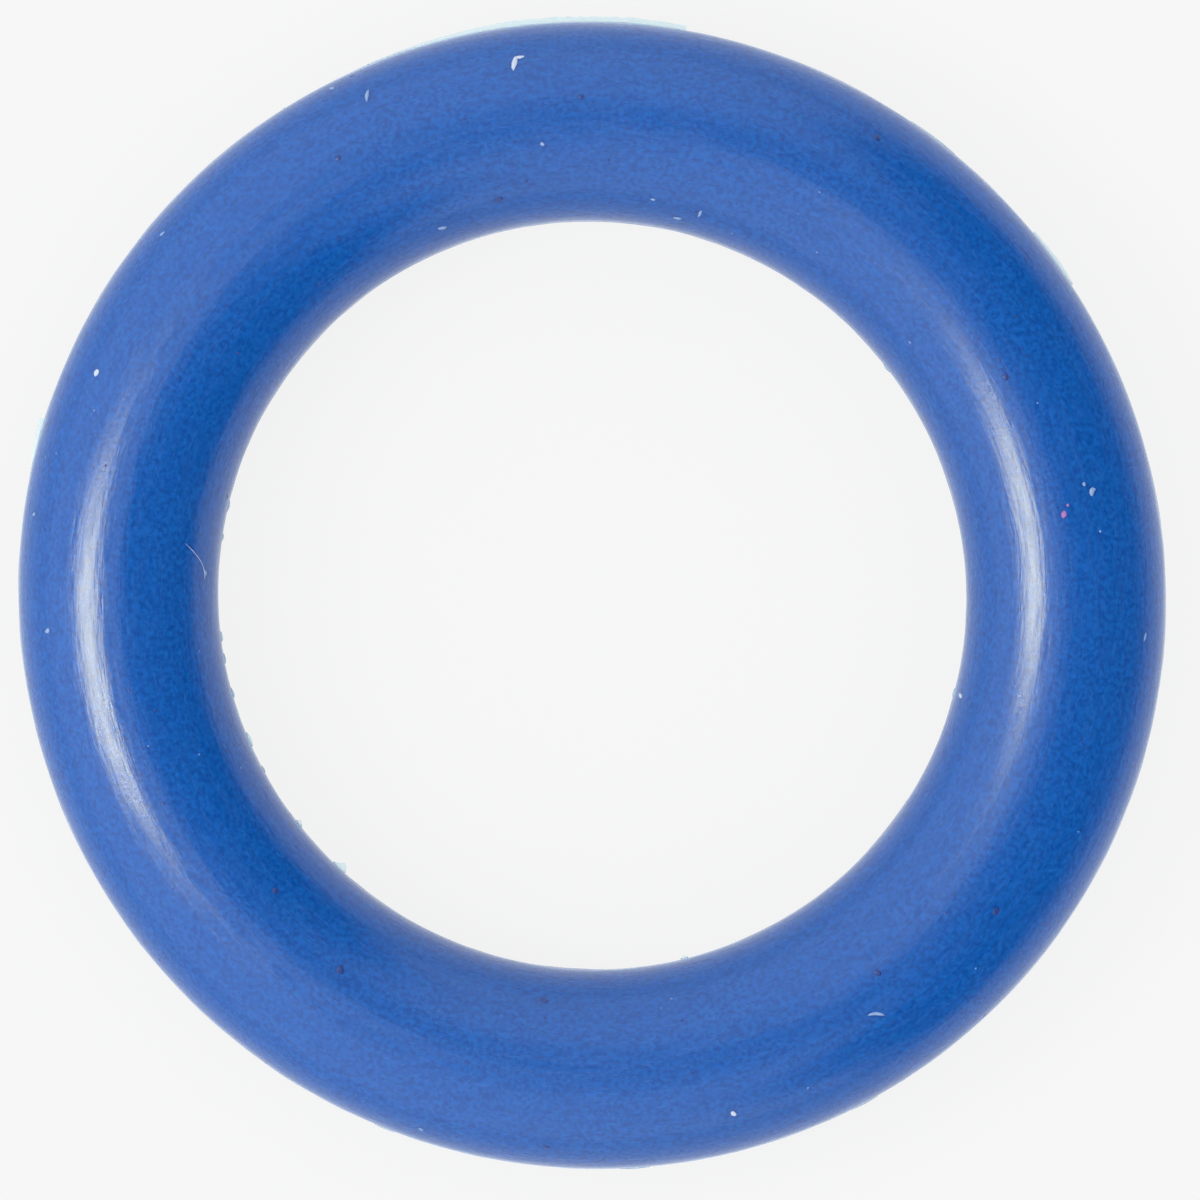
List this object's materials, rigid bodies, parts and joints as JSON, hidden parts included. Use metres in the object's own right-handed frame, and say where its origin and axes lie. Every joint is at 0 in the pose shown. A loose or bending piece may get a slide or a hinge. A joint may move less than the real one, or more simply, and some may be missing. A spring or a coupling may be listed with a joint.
{
  "type": "o-ring",
  "caption": "Round-section moulded rubber O-ring with a fine parting-line ridge, for sealing a shaft, cover or case back in a groove.",
  "frame": {"origin": "centre of the ring, on its axis and at mid-height, in the plane where the mould's two halves met", "axes": "+Z along the ring's axis, square to the plane the ring lies in; the ring is turned, so +X and +Y are any two directions across it"},
  "size_m": [0.0116, 0.0116, 0.002],
  "materials": {
    "blue_rubber": "satin moulded blue rubber with faint turning marks copied from the mould"
  },
  "bodies": {
    "root": {"o_ring": "blue_rubber"}
  },
  "joints": []
}
